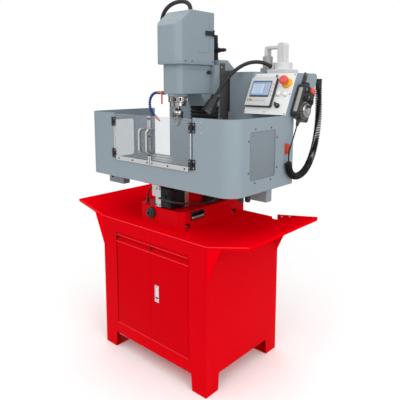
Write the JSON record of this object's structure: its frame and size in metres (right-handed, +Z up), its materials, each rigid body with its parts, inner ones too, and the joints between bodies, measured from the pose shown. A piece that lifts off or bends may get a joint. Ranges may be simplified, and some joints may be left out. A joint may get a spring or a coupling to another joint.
{
  "type": "bench milling machine",
  "caption": "Compact computer-controlled milling machine on a two-door cabinet stand, with splash enclosure, chip tray, operator console and hand pendant.",
  "frame": {"origin": "on the floor, under the middle of the machine's outline", "axes": "+Z up, +X to the operator's right, -Y towards the operator"},
  "size_m": [1.09, 0.7105, 1.6856],
  "materials": {
    "red_paint": "smooth gloss powder coat",
    "red_paint_cast": "gloss enamel on cast iron",
    "grey_paint": "satin blue-grey powder coat",
    "grey_paint_cast": "satin blue-grey enamel on cast iron",
    "white_paint": "satin white coat",
    "dark_plate": "dark semi-matt plate",
    "black_metal": "black semi-matt coat",
    "black_plastic": "black moulded plastic",
    "grey_plastic": "light grey moulded plastic",
    "white_plastic": "white moulded plastic",
    "yellow_plastic": "yellow moulded plastic",
    "red_plastic": "red moulded plastic",
    "blue_plastic": "blue moulded plastic links",
    "bright_steel": "bright machined steel",
    "ground_iron": "ground cast iron",
    "aluminium": "satin aluminium",
    "brass": "bright brass and copper",
    "clear_sheet": "clear polycarbonate sheet",
    "bellows_rubber": "black pleated way cover",
    "hose_rubber": "black flexible conduit",
    "cord_rubber": "black cord jacket"
  },
  "bodies": {
    "stand": {"cabinet_shell": "red_paint", "chip_tray": "red_paint", "base_casting": "red_paint_cast", "column": "grey_paint_cast", "column_covers": "dark_plate", "axis_motors": "black_metal", "y_drive_blocks": "aluminium", "black_fittings": "black_plastic", "fasteners": "bright_steel", "z_bellows": "bellows_rubber", "enclosure_wall": "grey_paint", "enclosure_floor": "grey_paint", "side_windows": "clear_sheet", "hinge_leaves_fixed": "black_metal", "control_box": "grey_paint", "console_box": "grey_paint", "console_panel": "white_paint", "hmi_unit": "grey_plastic", "panel_bezels": "yellow_plastic", "support_arm": "white_paint", "lamp_neck": "black_plastic", "lamp_head": "black_metal", "pendant_body": "black_plastic", "motor_hose": "hose_rubber", "pendant_lead": "cord_rubber", "pendant_coil": "cord_rubber"},
    "cabinet_left": {"cabinet_door_left": "red_paint"},
    "cabinet_right": {"cabinet_door_right": "red_paint", "lock_housing": "bright_steel"},
    "lock_pull": {"lock_paddle": "bright_steel"},
    "saddle_slide": {"saddle": "grey_paint_cast"},
    "table_slide": {"table": "ground_iron", "x_motor": "black_metal"},
    "x_feed": {"x_screw": "bright_steel"},
    "y_feed": {"y_screw": "bright_steel"},
    "z_feed": {"z_screw": "bright_steel"},
    "head": {"z_slide": "grey_paint_cast", "head_casting": "grey_paint_cast", "motor_cover": "grey_paint", "head_fittings": "bright_steel", "coolant_fittings": "brass", "coolant_hose": "blue_plastic"},
    "spindle_shaft": {"spindle": "bright_steel", "drill_chuck": "bright_steel"},
    "latch": {"cover_latch": "black_plastic"},
    "coolant_tap": {"valve_lever": "red_plastic"},
    "door_left": {"door_pane_left": "clear_sheet", "door_trim_left": "aluminium", "hinge_leaves_left": "black_metal"},
    "door_right": {"door_pane_right": "clear_sheet", "door_trim_right": "aluminium", "hinge_leaves_right": "black_metal"},
    "stop_button": {"estop_cap": "red_plastic"},
    "button_left": {"push_button_left": "white_plastic"},
    "button_right": {"push_button_right": "white_plastic"},
    "key": {"mode_key": "black_plastic"},
    "dial": {"pendant_dial": "aluminium"},
    "pendant_stop_button": {"pendant_stop": "red_plastic"},
    "selector_axis": {"pendant_selector_axis": "black_plastic"},
    "selector_step": {"pendant_selector_step": "black_plastic"}
  },
  "joints": [
    {"name": "cabinet_left_hinge", "type": "hinge", "parent": "stand", "child": "cabinet_left", "pos_m": [-0.232, -0.317, 0.363], "axis": [0, 0, -1], "range_deg": [0, 95]},
    {"name": "cabinet_right_hinge", "type": "hinge", "parent": "stand", "child": "cabinet_right", "pos_m": [0.232, -0.317, 0.363], "axis": [0, 0, 1], "range_deg": [0, 95]},
    {"name": "lock_pull_hinge", "type": "hinge", "parent": "cabinet_right", "child": "lock_pull", "pos_m": [0.045, -0.3205, 0.4], "axis": [-1, 0, 0], "range_deg": [0, 45], "stiffness_Nm_per_rad": 0.2},
    {"name": "y_slide", "type": "slide", "parent": "stand", "child": "saddle_slide", "axis": [0, 1, 0], "range_m": [-0.07, 0.07]},
    {"name": "x_slide", "type": "slide", "parent": "saddle_slide", "child": "table_slide", "axis": [1, 0, 0], "range_m": [-0.11, 0.11]},
    {"name": "z_slide_travel", "type": "slide", "parent": "stand", "child": "head", "axis": [0, 0, 1], "range_m": [-0.15, 0], "deforming": ["z_bellows", "motor_hose"]},
    {"name": "y_screw_turn", "type": "hinge", "parent": "stand", "child": "y_feed", "pos_m": [0.038, -0.064, 0.797], "axis": [0, 1, 0], "range_deg": [-2600, 2600]},
    {"name": "x_screw_turn", "type": "hinge", "parent": "table_slide", "child": "x_feed", "pos_m": [0, -0.139, 0.9145], "axis": [1, 0, 0], "range_deg": [-4000, 4000]},
    {"name": "z_screw_turn", "type": "hinge", "parent": "stand", "child": "z_feed", "pos_m": [0, 0.084, 1.1], "axis": [0, 0, 1], "range_deg": [-5500, 10]},
    {"name": "spindle_turn", "type": "hinge", "parent": "head", "child": "spindle_shaft", "pos_m": [0, -0.139, 1.3], "axis": [0, 0, 1], "continuous": true},
    {"name": "latch_hinge", "type": "hinge", "parent": "head", "child": "latch", "pos_m": [0.08, 0.018, 1.524], "axis": [0, 0, 1], "range_deg": [0, 80]},
    {"name": "coolant_tap_turn", "type": "hinge", "parent": "head", "child": "coolant_tap", "pos_m": [-0.072, -0.169, 1.256], "axis": [0, 1, 0], "range_deg": [0, 90]},
    {"name": "door_left_hinge", "type": "hinge", "parent": "stand", "child": "door_left", "pos_m": [-0.25, -0.318, 1.054], "axis": [0, 0, -1], "range_deg": [0, 105]},
    {"name": "door_right_hinge", "type": "hinge", "parent": "stand", "child": "door_right", "pos_m": [0.25, -0.318, 1.054], "axis": [0, 0, 1], "range_deg": [0, 105]},
    {"name": "stop_press", "type": "slide", "parent": "stand", "child": "stop_button", "axis": [0, 0.8974, -0.4412], "range_m": [0, 0.006], "stiffness_N_per_m": 900},
    {"name": "button_left_press", "type": "slide", "parent": "stand", "child": "button_left", "axis": [0, 0.8974, -0.4412], "range_m": [0, 0.003], "stiffness_N_per_m": 700},
    {"name": "button_right_press", "type": "slide", "parent": "stand", "child": "button_right", "axis": [0, 0.8974, -0.4412], "range_m": [0, 0.003], "stiffness_N_per_m": 700},
    {"name": "key_turn", "type": "hinge", "parent": "stand", "child": "key", "pos_m": [0.405, 0.05997, 1.20259], "axis": [0, -0.8974, 0.4412], "range_deg": [-60, 60]},
    {"name": "dial_turn", "type": "hinge", "parent": "stand", "child": "dial", "pos_m": [0.498, 0.132, 1.183], "axis": [1, 0, 0], "continuous": true},
    {"name": "pendant_stop_press", "type": "slide", "parent": "stand", "child": "pendant_stop_button", "axis": [-1, 0, 0], "range_m": [0, 0.0035], "stiffness_N_per_m": 700},
    {"name": "selector_axis_turn", "type": "hinge", "parent": "stand", "child": "selector_axis", "pos_m": [0.498, 0.13343, 1.23578], "axis": [1, 0, 0], "range_deg": [-75, 75]},
    {"name": "selector_step_turn", "type": "hinge", "parent": "stand", "child": "selector_step", "pos_m": [0.498, 0.17292, 1.21637], "axis": [1, 0, 0], "range_deg": [-75, 75]}
  ],
  "couplings": [
    {"joint": "y_screw_turn", "follows": "y_slide", "rad_per_m": 628.32},
    {"joint": "x_screw_turn", "follows": "x_slide", "rad_per_m": 628.32},
    {"joint": "z_screw_turn", "follows": "z_slide_travel", "rad_per_m": 628.32}
  ]
}
